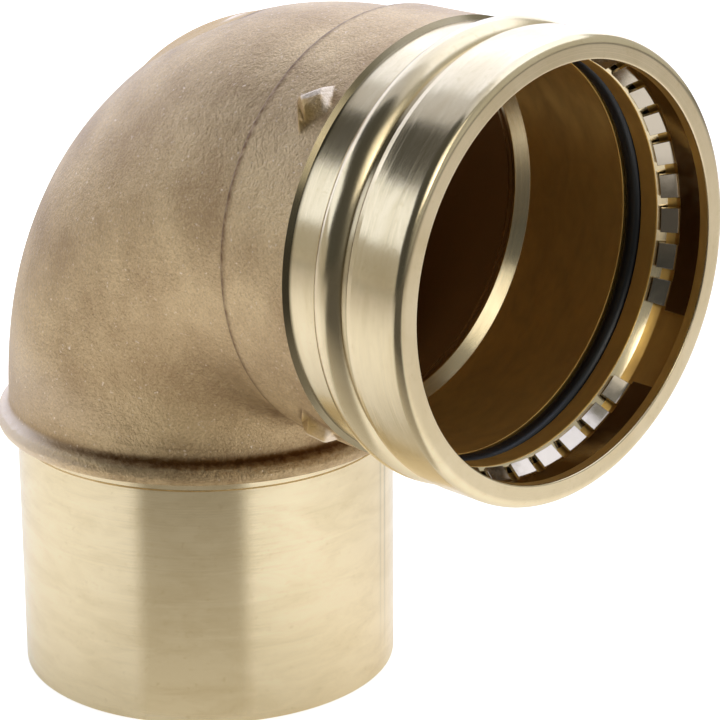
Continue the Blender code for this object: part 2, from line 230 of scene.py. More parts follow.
def filleted(corners):
    """Outline through (radius, along, fillet) corners in mm, with each corner rounded to its fillet.

    A short straight step beside each rounding keeps the smooth shading of long walls flat.
    """
    most_of_side, step_degrees, longest_support = 0.46, 11, 0.12
    points = [np.array(corner[:2], float) for corner in corners]
    outline = [points[0]]
    for i in range(1, len(points) - 1):
        here, rounding = points[i], corners[i][2]
        before, after = points[i - 1] - here, points[i + 1] - here
        room_before, room_after = np.linalg.norm(before), np.linalg.norm(after)
        before, after = before / room_before, after / room_after
        half = np.arccos(np.clip(before @ after, -1.0, 1.0)) / 2
        if rounding <= 0.0 or half > pi / 2 - 0.01:
            outline.append(here)
            continue
        reach = min(rounding / np.tan(half), most_of_side * room_before, most_of_side * room_after)
        rounding = reach * np.tan(half)
        bisector = (before + after) / np.linalg.norm(before + after)
        centre = here + bisector * rounding / np.sin(half)
        first, last = here + before * reach - centre, here + after * reach - centre
        swing = pi - 2 * half
        steps = max(3, int(np.degrees(swing) / step_degrees))
        support = min(longest_support, 0.03 * room_before, 0.03 * room_after)
        outline.append(here + before * (reach + support))
        for share in np.arange(steps + 1) / steps:
            turn = (sin((1 - share) * swing) * first + sin(share * swing) * last) / sin(swing)
            outline.append(centre + turn)
        outline.append(here + after * (reach + support))
    outline.append(points[-1])
    return np.array(outline)


def new_mesh(name, points, faces):
    """Mesh of points in mm and the faces between them."""
    mesh = bpy.data.meshes.new(name)
    mesh.from_pydata((points * MM).tolist(), [], faces)
    mesh.update()
    return mesh


def new_object(name, data):
    """Object of a mesh, lamp or camera, put into the scene."""
    made = bpy.data.objects.new(name, data)
    bpy.context.scene.collection.objects.link(made)
    return made


def quad_mesh(name, grid, close_round=True, close_along=False):
    """Mesh of a grid of points in mm, which runs along and then round."""
    along, around = grid.shape[:2]
    numbers = np.arange(along * around).reshape(along, around)
    if close_along:
        numbers = np.vstack([numbers, numbers[:1]])
    if close_round:
        numbers = np.hstack([numbers, numbers[:, :1]])
    faces = np.stack([numbers[:-1, :-1], numbers[:-1, 1:], numbers[1:, 1:], numbers[1:, :-1]], -1)
    return new_mesh(name, grid.reshape(-1, 3), faces.reshape(-1, 4).tolist())


def place(mesh, material, node, sharp=30.0):
    """Puts a finished mesh into the scene in place of the CAD node it dresses."""
    mesh.materials.append(material)
    mesh.shade_smooth()
    if sharp:
        mesh.set_sharp_from_angle(angle=radians(sharp))
    piece = new_object(mesh.name, mesh)
    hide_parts(node)
    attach(piece, "root")
    return piece


def paint(mesh, name, values):
    """Stores one number a point on a mesh, for a finish to read by its name."""
    layer = mesh.attributes.new(name, "FLOAT", "POINT")
    layer.data.foreach_set("value", values.ravel().astype(np.float32))


def spun_on_socket(outline, turns=FULL_TURN):
    """Points of an outline of (radius, along) mm turned about the socket's axis."""
    radius, along = outline[:, :1], outline[:, 1:]
    x = along + 0 * turns + SPIGOT_X / MM
    return np.stack([x, radius * np.sin(turns), radius * np.cos(turns) + SOCKET_HEIGHT / MM], -1)


def spun_on_spigot(outline, turns=FULL_TURN):
    """Points of an outline of (radius, height) mm turned about the spigot's axis."""
    radius, height = outline[:, :1], outline[:, 1:]
    x = SPIGOT_X / MM - radius * np.cos(turns)
    return np.stack([x, radius * np.sin(turns), height + 0 * turns], -1)


def elbow_stations(sizes):
    """Where the bend starts and ends along the elbow's centre line, and its radius, in mm."""
    bend = sizes.bend_radius / MM
    start = SOCKET_HEIGHT / MM - bend
    return start, start + bend * pi / 2, bend


def sweep(stations, radii, turns, sizes):
    """Points round the elbow's centre line; a turn of zero lies on the outside of the bend."""
    start, knee, bend = elbow_stations(sizes)
    angle = np.clip((stations - start) / bend, 0.0, pi / 2)
    centre_x = bend - bend * np.cos(angle) + np.maximum(stations - knee, 0.0) + SPIGOT_X / MM
    centre_z = start + bend * np.sin(angle) + np.minimum(stations - start, 0.0)
    reach = radii * np.cos(turns)[None, :]
    x = centre_x[:, None] - np.cos(angle)[:, None] * reach
    z = centre_z[:, None] + np.sin(angle)[:, None] * reach
    return np.stack([x, radii * np.sin(turns)[None, :], z], -1)


def soft_least(values, blend):
    """Least of several heights, with the ridges between them rounded."""
    stack = np.stack(np.broadcast_arrays(*values))
    low = stack.min(axis=0)
    return low - blend * np.log(np.exp(-(stack - low) / blend).sum(axis=0))


def collar_and_boss(stations, sizes):
    """Radius in mm of the skin's plain rings: the bead at its foot, the bend, and the boss."""
    start, knee, _ = elbow_stations(sizes)
    outer, boss = sizes.bend_outer / MM, sizes.boss_radius / MM
    relief = sizes.tube_radius / MM - RELIEF
    peak = outer + sizes.collar_rise / MM
    collar = [
        (relief, SKIN_FOOT, 0),
        (relief + 0.1, 72.5, 0.4),
        (peak - 0.6, 73.9, 1.3),
        (peak + 0.1, 76.0, 2.6),
        (peak - 0.9, 78.5, 1.2),
        (outer + 0.05, 79.9, 1.6),
        (outer, start, 0),
    ]
    step = [
        (outer, knee, 0),
        (outer, knee + 6.3, 0.6),
        (boss - 0.25, knee + 7.9, 2.6),
        (boss + 0.5, knee + BOSS_LENGTH, 0),
    ]
    ends = np.vstack([filleted(collar), filleted(step)])
    return np.interp(stations, ends[:, 1], ends[:, 0])


def gate_pad(angle, turns, sizes):
    """Radius in mm of the gate pad's face, or 0 beside it, and how near its middle each station is."""
    spread = np.clip(1.0 - ((angle - PAD_MIDDLE) / PAD_REACH) ** 2, 0.0, None)
    crown = PAD_CROWN - 2.6 * (1.0 - spread)
    inset = (sizes.bend_outer + sizes.pad_rise) / MM - PAD_CROWN
    under = np.clip(crown**2 - (inset * np.sin(turns)) ** 2, 0.0, None)
    face = inset * np.cos(turns) + np.sqrt(under)
    return np.where((spread > 0.0) & (np.cos(turns) > 0.8), face, 0.0), spread


def lug_shape(along, across, rise):
    """Height of one cast lug over the boss, and its painted light: more than 0 is painted shade, less is
    painted highlight.

    It is a flat-topped wedge with its point toward the bend and a slanting groove behind the point.
    Across counts toward the nearer of straight up and straight down, where the lug's long side lies.
    """
    # How far in mm a place lies inside each of the four sides, and beside the groove.
    long_side = 0.81 * (0.9 + 0.722 * (along - 82.2) - across)
    back = 0.89 * (91.2 + 0.508 * (7.4 - across) - along)
    foot = 0.54 * (across + 8.4 - 1.556 * (along - 89.2))
    point = 0.618 * (across - 0.9 + 1.271 * (along - 82.2))
    groove = (across + 0.813 * (along - 83.8)) / 1.289
    top = rise + 0.3 - 0.08 * (along - 88.0)
    faces = [1.35 * long_side, 1.3 * back, 0.8 * foot, 1.5 * point, top, 0.75 + 1.25 * np.abs(groove)]
    height = np.clip(soft_least(faces, 0.22), 0.0, None)
    # Painted light on the lug: painted shade in the groove behind the point, a faint painted highlight over
    # the rest, and a stronger one along the long side's crest and the back edge.
    highlit = np.clip(ramp(long_side, 4.2, 3.2) + 0.6 * ramp(np.abs(back - 0.9), 1.2, 0.2), 0.0, 1.0)
    stain_and_painted_light = 0.9 * ridge(groove, 0.2, 2.05) - 0.2 - 1.4 * highlit * ramp(groove, 1.2, 2.2)
    return height, ramp(height, 0.0, 2 / 3) * stain_and_painted_light


def skin_painted_light(station, knee, angle, side):
    """Painted shade and highlight of the cast skin: more than 0 is darker, and less than 0 lighter than the
    rest.
    """
    crook, under_side = ramp(side, 75.0, 115.0), ramp(side, 115.0, 150.0)
    # Painted shade lies along the boss's edge, in the crook, and on and above the bead on the crook's side.
    boss_edge = 0.75 * ridge(station, knee + 8.6, 1.15)
    crook_shade = 0.55 * under_side * ridge(angle, 70.0, 22.0)
    lip, foot, line = (ridge(station, *at) for at in ((74.4, 1.7), (79.3, 1.7), (84.6, 0.35)))
    darkened = boss_edge + (0.75 * foot + 0.4 * line + 0.42 * lip) * crook + crook_shade
    # The outer side of the bead and of the skin above it is painted lighter, as a painted highlight.
    return darkened - (1.0 - crook) * (0.8 * ramp(station, 81.0, 79.0) + 0.3 * ridge(station, 92.0, 9.0))


def skin_radii(stations, turns, sizes):
    """Radius of the cast skin in mm, how far it is ground, and its stain and painted light, at each station
    and turn.
    """
    start, knee, bend = elbow_stations(sizes)
    end = knee + BOSS_LENGTH
    station, angle = stations[:, None], np.degrees((stations - start) / bend)[:, None]
    turns, degrees = turns[None, :], np.degrees(turns)[None, :]
    plain = collar_and_boss(stations, sizes)[:, None]
    pad, spread = gate_pad(angle, turns, sizes)
    # The grinding reaches a little past the pad's edge.
    ground = ramp(pad - plain, -1.75, -1.75 + 1 / 3) * (spread > 0.02)
    radii = -soft_least([-plain, -pad], 0.12)
    stain_and_painted_light = skin_painted_light(station, knee, angle, np.abs(degrees))
    # The upper end of the gate pad is chipped, with a nick beside it.
    chip = ridge(angle, 70.2, 1.1) * ridge(degrees, -7.0, 3.2)
    nick = ridge(angle, 73.4, 0.9) * ridge(degrees, -6.0, 5.0)
    radii = radii + 0.5 * chip - 0.3 * nick
    # The chip is painted pale, not ground, and the nick is painted darker.
    ground = ground * ramp(chip, 0.4, 0.0)
    stain_and_painted_light = stain_and_painted_light - 2.0 * chip + 0.9 * nick
    along = station - knee + bend
    for middle, way in LUGS.items():
        off = (degrees - middle + 180.0) % 360.0 - 180.0
        across = way * np.radians(off) * sizes.boss_radius / MM
        lug, dark = lug_shape(along, across, sizes.lug_rise / MM)
        near = (along > 79.0) & (along < 95.5) & (np.abs(across) < 14.0)
        radii = radii + np.where(near, lug, 0.0)
        stain_and_painted_light = stain_and_painted_light + np.where(near, dark, 0.0)
        ground = ground + np.where(near, 0.7 * ramp(lug, 0.0, 1.2) * ramp(dark, -0.5, 0.0), 0.0)
    # A sand mould is never quite round: waves of 0.05 mm, which settle toward the machined ends.
    wave = 0.05 * np.sin(station / 9.0) * np.sin(5 * turns)
    wave = wave + 0.04 * np.sin(station / 5.3 + 1.0) * np.cos(9 * turns + 0.7)
    settle = ramp(station, 80.0, 86.0) * ramp(station, end, end - 4.0)
    return radii + wave * settle, ground, stain_and_painted_light


def skin_stations(sizes):
    """Stations along the cast skin, close together where it is moulded finely."""
    start, knee, _ = elbow_stations(sizes)
    runs = [np.arange(SKIN_FOOT, start, 0.3), np.linspace(start, knee, 112, endpoint=False)]
    for first, last, count in ((0.0, 5.4, 5), (5.4, 9.6, 17), (9.6, 15.6, 6), (15.6, 30.0, 42)):
        runs.append(np.linspace(knee + first, knee + last, count, endpoint=False))
    runs.append(np.linspace(knee + 30.0, knee + BOSS_LENGTH, 5))
    return np.concatenate(runs)


def skin_turns():
    """Turns round the cast skin in radians, close together at the lugs and the gate pad."""
    edges = [-180.0]
    while edges[-1] < 179.5:
        here = edges[-1]
        near_lug = min(abs(here - middle) for middle in LUGS) < 11.5
        edges.append(here + (0.46 if near_lug else 0.9 if abs(here) < 19.0 else 1.7))
    stretch = 360.0 / (edges[-1] + 180.0)
    return np.radians(np.array(edges[:-1]) * stretch + 180.0 * (stretch - 1.0))


def hollows(stations, radii):
    """How far each point of the skin lies below its neighbourhood, in mm: more than 0 in a hollow."""
    even = np.arange(stations[0], stations[-1], 0.3)
    level = np.stack([np.interp(even, stations, column) for column in radii.T], 1)
    smooth = level
    for _ in range(3):
        for axis in (0, 1):
            sides = [np.roll(smooth, shift, axis) for shift in (-2, -1, 1, 2)]
            smooth = (smooth + sum(sides)) / 5.0
    depth = smooth - level
    # The two ends have no neighbours beyond them, so they repeat the depth beside them.
    depth[:8] = depth[8]
    depth[-8:] = depth[-9]
    return np.stack([np.interp(stations, even, column) for column in depth.T], 1)


def socket_outline(sizes):
    """Outline of the turned socket in mm, from the boss over the outside to the mouth and back inside."""
    tube, core, boss = sizes.tube_radius / MM, sizes.core_radius / MM, sizes.boss_radius / MM
    bead, barrel, seal = sizes.bead_radius / MM, sizes.barrel_radius / MM, SEAL_X / MM
    land, chamber, groove = tube + 0.4, tube + 4.6, tube + 5.5
    nick, valley = boss - 0.8, bead - 2.9
    bead_round, bead_middle = 5.45, 112.0
    bead_turns = np.radians(np.linspace(163.5, 28.0, 26))
    crown = [(bead + bead_round * (sin(t) - 1), bead_middle + bead_round * cos(t), 0) for t in bead_turns]
    # The chamber's cone is slightly crowned, which spreads its highlight.
    cone_foot, cone_steps = 121.3, np.linspace(0.92, 0.08, 7)
    cone = [(land + 4.2 * (t + 0.1 * sin(pi * t)), cone_foot + 3.6 * t, 0) for t in cone_steps]
    corners = [
        (boss + 0.5, 95.9, 0),
        (nick, 97.0, 0.3),
        (nick, 98.0, 0),
        (nick, 98.5, 0),
        *crown,
        (valley, 116.9, 0.3),
        (valley, 118.4, 0.3),
        (barrel - 0.5, 120.3, 0.4),
        (barrel - 0.12, 122.0, 1.0),
        (barrel, 125.0, 0.6),
        (barrel, MOUTH, 2.5),
        (tube + 1.0, MOUTH, 0.45),
        (tube + 1.0, 135.7, 0.15),
        (chamber, 135.7, 0.2),
        (chamber, 124.9, 0.5),
        *cone,
        (land, cone_foot, 0.5),
        (land, seal + SEAL_ROOM, 0.25),
        (groove, seal + SEAL_ROOM, 1.6),
        (groove, seal - SEAL_ROOM, 1.6),
        (land, seal - SEAL_ROOM, 0.25),
        (land, 75.8, 0.2),
        (core + 0.3, 72.8, 0.3),
        (core - 0.1, 70.4, 0),
    ]
    return filleted(corners)


def strip_spine(sizes):
    """Middle line of the bent strip as (radius, along) mm, and which of its steps lie on the band."""
    thick = sizes.strip_thickness / MM
    tube = sizes.tube_radius / MM
    inner = tube + 4.3 - thick
    middle = inner + thick / 2
    front, knee, lean, bend = 135.4, 127.1, radians(40.0), 1.5
    turns = np.linspace(0.0, lean, 8)
    curve = [(inner - bend + (bend + thick / 2) * cos(t), knee - (bend + thick / 2) * sin(t)) for t in turns]
    reach = (inner - bend * (1.0 - cos(lean)) - tube - 0.3) / sin(lean)
    tooth = -np.array([sin(lean), cos(lean)]) * reach
    tips = [np.array(curve[-1]) + tooth * share for share in (0.1, 0.5, 1.0)]
    spine = np.array([(middle, front), (middle, (front + knee) / 2), *curve, *tips])
    return spine, spine[:-1, 1] > knee + 0.01


def strip_marks(slot):
    """Degrees along the strip's length at each tooth and slot, and which steps between are teeth."""
    marks, metal = [STRIP_START], []
    half_tooth = (TOOTH_PITCH - slot) / 2
    for tooth in range(TOOTH_COUNT):
        centre = FIRST_TOOTH + TOOTH_PITCH * tooth
        left, right = max(centre - half_tooth, STRIP_START), min(centre + half_tooth, STRIP_END)
        if left > marks[-1] + 0.01:
            marks.append(left)
            metal.append(False)
        for share in np.linspace(0.0, 1.0, 6)[1:]:
            marks.append(left + (right - left) * share)
            metal.append(True)
    if marks[-1] < STRIP_END - 0.01:
        marks.append(STRIP_END)
        metal.append(False)
    return np.array(marks), metal


def strip_mesh(name, inner, outer, present):
    """Closed mesh of a bent strip: its inner and outer points, and which cells hold metal."""
    around, along = inner.shape[:2]
    points = np.concatenate([inner.reshape(-1, 3), outer.reshape(-1, 3)])
    numbers = np.arange(around * along).reshape(around, along)
    top = around * along
    faces = []
    for i in range(around - 1):
        for j in range(along - 1):
            if not present[i, j]:
                continue
            a, b, c, d = numbers[i, j], numbers[i + 1, j], numbers[i + 1, j + 1], numbers[i, j + 1]
            faces.append((a, b, c, d))
            faces.append((a + top, d + top, c + top, b + top))
            if i == 0 or not present[i - 1, j]:
                faces.append((a, d, d + top, a + top))
            if i == around - 2 or not present[i + 1, j]:
                faces.append((b, b + top, c + top, c))
            if j == 0 or not present[i, j - 1]:
                faces.append((a, a + top, b + top, b))
            if j == along - 2 or not present[i, j + 1]:
                faces.append((d, c, c + top, d + top))
    used = sorted({corner for face in faces for corner in face})
    renumber = {old: new for new, old in enumerate(used)}
    return new_mesh(name, points[used], [[renumber[corner] for corner in face] for face in faces])


def add(tree, kind, values=(), output=None, **properties):
    """Adds a node with its properties, and gives its first output in use or the one that is named.

    Values go to its inputs by name, or in the order of the inputs in use: each is a number, a vector,
    a colour of three, or another node's output to link.
    """
    node = tree.nodes.new("ShaderNode" + kind)
    for key, value in properties.items():
        setattr(node, key, value)
    if isinstance(values, dict):
        pairs = [(node.inputs[key], value) for key, value in values.items()]
    else:
        pairs = zip([socket for socket in node.inputs if socket.enabled], values)
    for socket, value in pairs:
        if isinstance(value, bpy.types.NodeSocket):
            tree.links.new(value, socket)
        else:
            socket.default_value = (*value, 1.0) if socket.type == "RGBA" else value
    if output:
        return node.outputs[output]
    return next((socket for socket in node.outputs if socket.enabled), None)


def new_finish(name, viewport_colour):
    """A material, its tree, and the places on the object that its patterns follow."""
    material = bpy.data.materials.new(name)
    material.use_nodes = True
    material.diffuse_color = (*viewport_colour, 1.0)
    tree = material.node_tree
    tree.nodes.clear()
    return material, tree, add(tree, "TexCoord", output="Object")


def sand_cast_bronze(colours):
    """Sand-cast bronze, shot-blasted: matt warm metal with a fine grain sparkling with painted glints, soft
    stains, and painted shade and highlights.
    """
    material, tree, where = new_finish("sand_cast_bronze", colours.cast)
    # Blasting leaves craters about 0.4 mm wide; drawn at 0.7 mm, which the picture can still show.
    grain = add(tree, "TexNoise", {"Vector": where, "Scale": 1400.0, "Roughness": 0.7})
    # Sand grains that stuck to the mould's face, 1 to 3 mm.
    scab = add(tree, "TexNoise", {"Vector": where, "Scale": 420.0, "Detail": 3.0, "Roughness": 0.6})
    # Shade from the mould in patches about 20 mm across.
    mottle = add(tree, "TexNoise", {"Vector": where, "Scale": 48.0, "Detail": 3.0})
    spots = add(
        tree, "MapRange",
        {"Value": grain, "From Min": 0.25, "From Max": 0.75, "To Min": -0.26, "To Max": 0.6},
    )
    patches = add(
        tree, "MapRange",
        {"Value": mottle, "From Min": 0.3, "From Max": 0.7, "To Min": 0.02, "To Max": 0.72},
    )
    both = add(tree, "Math", (spots, patches), operation="ADD")
    # Oxide stays in the hollows, fully on the crook side where it adds painted shade, and handling polishes
    # the ridges.
    hollow = add(tree, "Attribute", output="Fac", attribute_name="hollow")
    worn = add(
        tree, "MapRange",
        {"Value": hollow, "From Min": -0.3, "From Max": 0.15, "To Min": 0.5, "To Max": -0.5},
    )
    share = add(tree, "Math", (both, worn), operation="ADD", use_clamp=True)
    tint = add(tree, "Mix", (share, colours.cast_shade, colours.cast), data_type="RGBA")
    oxide = add(tree, "MapRange", {"Value": hollow, "From Min": 0.04, "From Max": 0.3, "To Max": 0.35})
    # The painted shade and highlights stop raggedly, broken up by the stuck sand's pattern.
    stain_and_painted_light = add(tree, "Attribute", output="Fac", attribute_name="stain_and_painted_light")
    ragged = add(
        tree, "MapRange",
        {"Value": scab, "From Min": 0.35, "From Max": 0.65, "To Min": 0.7, "To Max": 1.3},
    )
    ragged_painted_light = add(tree, "Math", (stain_and_painted_light, ragged), operation="MULTIPLY")
    dark = add(tree, "Math", (oxide, ragged_painted_light), operation="ADD", use_clamp=True)
    darkened = add(tree, "Mix", (dark, tint, colours.oxide_and_shade), data_type="RGBA")
    # Painted glints on high spots, about 0.5 mm and drawn at 1 mm; where the stain and painted light is below
    # 0, it is all painted highlight.
    glint = add(tree, "TexNoise", {"Vector": where, "Scale": 900.0, "Detail": 1.0})
    sparks = add(tree, "MapRange", {"Value": glint, "From Min": 0.68, "From Max": 0.82, "To Max": 0.9})
    shine = add(tree, "Math", (sparks, stain_and_painted_light), operation="SUBTRACT", use_clamp=True)
    highlighted = add(tree, "Mix", (shine, darkened, colours.highlit), data_type="RGBA")
    ground = add(tree, "Attribute", output="Fac", attribute_name="ground")
    base = add(tree, "Mix", (ground, highlighted, colours.ground), data_type="RGBA")
    matt = add(
        tree, "MapRange",
        {"Value": grain, "From Min": 0.3, "From Max": 0.7, "To Min": 0.34, "To Max": 0.54},
    )
    height = add(tree, "Math", (scab, 1.4, grain), operation="MULTIPLY_ADD")
    relief = add(tree, "Bump", {"Height": height, "Strength": 0.68, "Distance": 0.4 * MM})
    shader = add(
        tree, "BsdfPrincipled", {"Base Color": base, "Metallic": 0.86, "Roughness": matt, "Normal": relief}
    )
    add(tree, "OutputMaterial", {"Surface": shader})
    return material


def turned_bronze(name, colours, axis, origin):
    """Bronze turned on a lathe: bright satin metal, with specks of tarnish and fine rings."""
    material, tree, where = new_finish(name, colours.turned)
    moved = add(tree, "VectorMath", (where, origin), operation="SUBTRACT")
    lengthwise = add(tree, "SeparateXYZ", (moved,), output=axis)
    across = tuple(0.0 if letter == axis else 1.0 for letter in "XYZ")
    flat = add(tree, "VectorMath", (moved, across), operation="MULTIPLY")
    radius = add(tree, "VectorMath", (flat,), operation="LENGTH")
    travel = add(tree, "Math", (lengthwise, radius), operation="ADD")
    # The tool's feed leaves rings about 0.2 mm apart; drawn at 0.6 mm so that they show.
    rings = add(tree, "TexNoise", {"W": travel, "Scale": 1600.0}, noise_dimensions="1D")
    # Wiped strokes of tarnish lie round the work, about 20 mm long and 7 mm wide; specks are 1.5 mm.
    squeeze = tuple(3.2 if letter == axis else 1.0 for letter in "XYZ")
    drawn = add(tree, "VectorMath", (where, squeeze), operation="MULTIPLY")
    haze = add(
        tree, "TexNoise",
        {"Vector": drawn, "Scale": 46.0, "Detail": 5.0, "Roughness": 0.6, "Distortion": 0.5},
    )
    speck = add(tree, "TexNoise", {"Vector": where, "Scale": 620.0, "Roughness": 0.6})
    cloud = add(tree, "MapRange", {"Value": haze, "From Min": 0.4, "From Max": 0.72, "To Max": 0.3})
    dots = add(tree, "MapRange", {"Value": speck, "From Min": 0.6, "From Max": 0.78, "To Max": 0.22})
    share = add(tree, "Math", (cloud, dots), operation="ADD", use_clamp=True)
    tint = add(tree, "Mix", (share, colours.turned, colours.tarnish), data_type="RGBA")
    # Grime along the scratches and painted shade in the grooves are painted on the mesh.
    stain_and_painted_light = add(tree, "Attribute", output="Fac", attribute_name="stain_and_painted_light")
    grimy = add(tree, "Mix", (stain_and_painted_light, tint, colours.grime_and_shade), data_type="RGBA")
    lines = add(tree, "Math", (rings, haze), operation="ADD")
    gloss = add(
        tree, "MapRange",
        {"Value": lines, "From Min": 0.6, "From Max": 1.4, "To Min": 0.14, "To Max": 0.27},
    )
    height = add(tree, "Math", (speck, 0.8, rings), operation="MULTIPLY_ADD")
    relief = add(tree, "Bump", {"Height": height, "Strength": 0.09, "Distance": 0.1 * MM})
    # The feed's rings draw every highlight out across them.
    turn = add(tree, "Tangent", direction_type="RADIAL", axis=axis)
    shader = add(
        tree, "BsdfPrincipled",
        {
            "Base Color": grimy, "Metallic": 1.0, "Roughness": gloss, "Normal": relief,
            "Anisotropic": 0.5, "Anisotropic Rotation": 0.25, "Tangent": turn,
        },
    )
    add(tree, "OutputMaterial", {"Surface": shader})
    return material


def bored_bronze(colours):
    """Bronze bored inside the socket and lightly oiled: brown satin metal with drawn-out stains."""
    material, tree, where = new_finish("bored_bronze", colours.bored)
    # Oil marks lie round the bore, about 17 mm long and 8 mm wide.
    drawn = add(tree, "VectorMath", (where, (2.2, 1.0, 1.0)), operation="MULTIPLY")
    smear = add(tree, "TexNoise", {"Vector": drawn, "Scale": 60.0, "Detail": 3.0, "Distortion": 0.3})
    share = add(tree, "MapRange", {"Value": smear, "From Min": 0.35, "From Max": 0.7, "To Max": 0.5})
    tint = add(tree, "Mix", (share, colours.bored, colours.core), data_type="RGBA")
    gloss = add(
        tree, "MapRange", {"Value": smear, "From Min": 0.3, "From Max": 0.7, "To Min": 0.32, "To Max": 0.5}
    )
    shader = add(tree, "BsdfPrincipled", {"Base Color": tint, "Metallic": 0.8, "Roughness": gloss})
    add(tree, "OutputMaterial", {"Surface": shader})
    return material


def cored_bronze(colours):
    """Bronze cast against a sand core: dull brown oxide with a coarse grain."""
    material, tree, where = new_finish("cored_bronze", colours.core)
    # Core sand is about 0.6 mm; drawn at 1.2 mm so that it shows.
    grain = add(tree, "TexNoise", {"Vector": where, "Scale": 830.0, "Detail": 3.0})
    relief = add(tree, "Bump", {"Height": grain, "Strength": 0.6, "Distance": 0.3 * MM})
    shader = add(
        tree, "BsdfPrincipled",
        {"Base Color": colours.core, "Metallic": 0.8, "Roughness": 0.6, "Normal": relief},
    )
    add(tree, "OutputMaterial", {"Surface": shader})
    return material


def moulded_rubber(colours):
    """EPDM rubber, press moulded and lightly greased: black with a soft narrow highlight."""
    material, tree, where = new_finish("moulded_epdm_rubber", colours.rubber)
    # Mould texture about 0.4 mm; drawn at 0.8 mm so that it shows.
    grain = add(tree, "TexNoise", {"Vector": where, "Scale": 1250.0})
    gloss = add(
        tree, "MapRange",
        {"Value": grain, "From Min": 0.3, "From Max": 0.7, "To Min": 0.28, "To Max": 0.42},
    )
    relief = add(tree, "Bump", {"Height": grain, "Strength": 0.1, "Distance": 0.1 * MM})
    shader = add(
        tree, "BsdfPrincipled",
        {"Base Color": colours.rubber, "Roughness": gloss, "IOR": 1.52, "Normal": relief},
    )
    add(tree, "OutputMaterial", {"Surface": shader})
    return material


def rolled_stainless(colours):
    """Stainless strip, cold rolled and punched: smooth bright grey metal with a faint bloom."""
    material, tree, where = new_finish("rolled_stainless_strip", colours.strip)
    # Rolling leaves a bloom in soft patches, about 2 mm across.
    bloom = add(tree, "TexNoise", {"Vector": where, "Scale": 480.0})
    gloss = add(
        tree, "MapRange", {"Value": bloom, "From Min": 0.3, "From Max": 0.7, "To Min": 0.1, "To Max": 0.17}
    )
    shader = add(tree, "BsdfPrincipled", {"Base Color": colours.strip, "Metallic": 1.0, "Roughness": gloss})
    add(tree, "OutputMaterial", {"Surface": shader})
    return material


def opal_acrylic(colours):
    """Opal acrylic table top, cast, with a soft painted glow of its own: pale, even and nearly shadowless."""
    material, tree, where = new_finish("opal_acrylic_table", colours.floor)
    # Casting leaves the sheet's gloss uneven in patches about 300 mm across.
    mottle = add(tree, "TexNoise", {"Vector": where, "Scale": 3.0})
    # Far from the elbow the floor's colour is painted darker, a painted shade which the metal mirrors.
    reach = add(tree, "VectorMath", (where,), operation="LENGTH")
    beyond = add(tree, "MapRange", {"Value": reach, "From Min": 0.75, "From Max": 1.4, "To Max": 0.6})
    tone = add(tree, "Mix", (beyond, colours.floor, linear("000000")), data_type="RGBA")
    level = add(
        tree, "MapRange",
        {"Value": mottle, "From Min": 0.3, "From Max": 0.7, "To Min": 0.85, "To Max": 0.9},
    )
    shader = add(
        tree, "BsdfPrincipled", {"Base Color": tone, "Roughness": level, "Specular IOR Level": 0.1}
    )
    pools = 0.0
    for spot, inner, outer, strength in TABLE_GLOW_POOLS:
        away = add(tree, "VectorMath", (where, spot), operation="DISTANCE")
        pool = add(
            tree, "MapRange",
            {"Value": away, "From Min": inner, "From Max": outer, "To Min": strength, "To Max": 0.0},
        )
        pools = add(tree, "Math", (pools, pool), operation="ADD")
    # The metal mirrors the painted pools of glow, which also light the elbow, and the camera sees the table
    # glow evenly.
    seen = add(tree, "LightPath", output="Is Camera Ray")
    lamp = add(tree, "Mix", (seen, pools, 0.8))
    glow = add(tree, "Emission", {"Color": linear("F0F7FF"), "Strength": lamp})
    add(tree, "OutputMaterial", {"Surface": add(tree, "AddShader", (shader, glow))})
    return material


def painted_dark_reflection():
    """Dark sheet that paints shade into the metal's reflections: it swallows light, and glows a little, paler
    by the spigot as painted light from the table.
    """
    material, tree, where = new_finish("painted_dark_reflection", linear("3F3F3F"))
    reach = add(tree, "VectorMath", (where, (SPIGOT_X, 0.0, 0.0)), operation="DISTANCE")
    level = add(
        tree, "MapRange",
        {"Value": reach, "From Min": 0.06, "From Max": 0.4, "To Min": 0.62, "To Max": 0.1},
    )
    glow = add(tree, "Emission", {"Color": linear("FFF8EC"), "Strength": level})
    # Its two long sides fade to clear, so that the table shows through.
    edge_fade = add(tree, "Attribute", output="Fac", attribute_name="edge_fade")
    shade_sheet = add(tree, "MixShader", (edge_fade, glow, add(tree, "BsdfTransparent")))
    add(tree, "OutputMaterial", {"Surface": shade_sheet})
    return material


def settings(context):
    """The sizes and the colours that the user has set."""
    return context.scene.elbow_sizes, context.scene.elbow_colours


class ELBOW_OT_cast_skin(bpy.types.Operator):
    """Builds the cast outside: collar bead, bend, gate pad, boss and four lugs"""

    bl_idname = "elbow.cast_skin"
    bl_label = "Cast Skin"

    def execute(self, context):
        sizes, colours = settings(context)
        stations, turns = skin_stations(sizes), skin_turns()
        radii, ground, stain_and_painted_light = skin_radii(stations, turns, sizes)
        mesh = quad_mesh("cast_skin", sweep(stations, radii, turns, sizes))
        # The hollows are painted darker on the crook side than on the outside of the bend: oxide, with
        # painted shade where the crook lies in shade.
        oxide_and_crook_shade = 0.35 + 0.65 * ramp(np.abs(turns), 1.1, 2.1)
        paint(mesh, "hollow", hollows(stations, radii) * oxide_and_crook_shade)
        paint(mesh, "ground", ground)
        paint(mesh, "stain_and_painted_light", stain_and_painted_light)
        place(mesh, sand_cast_bronze(colours), "elbow_body", sharp=0.0)
        return {"FINISHED"}


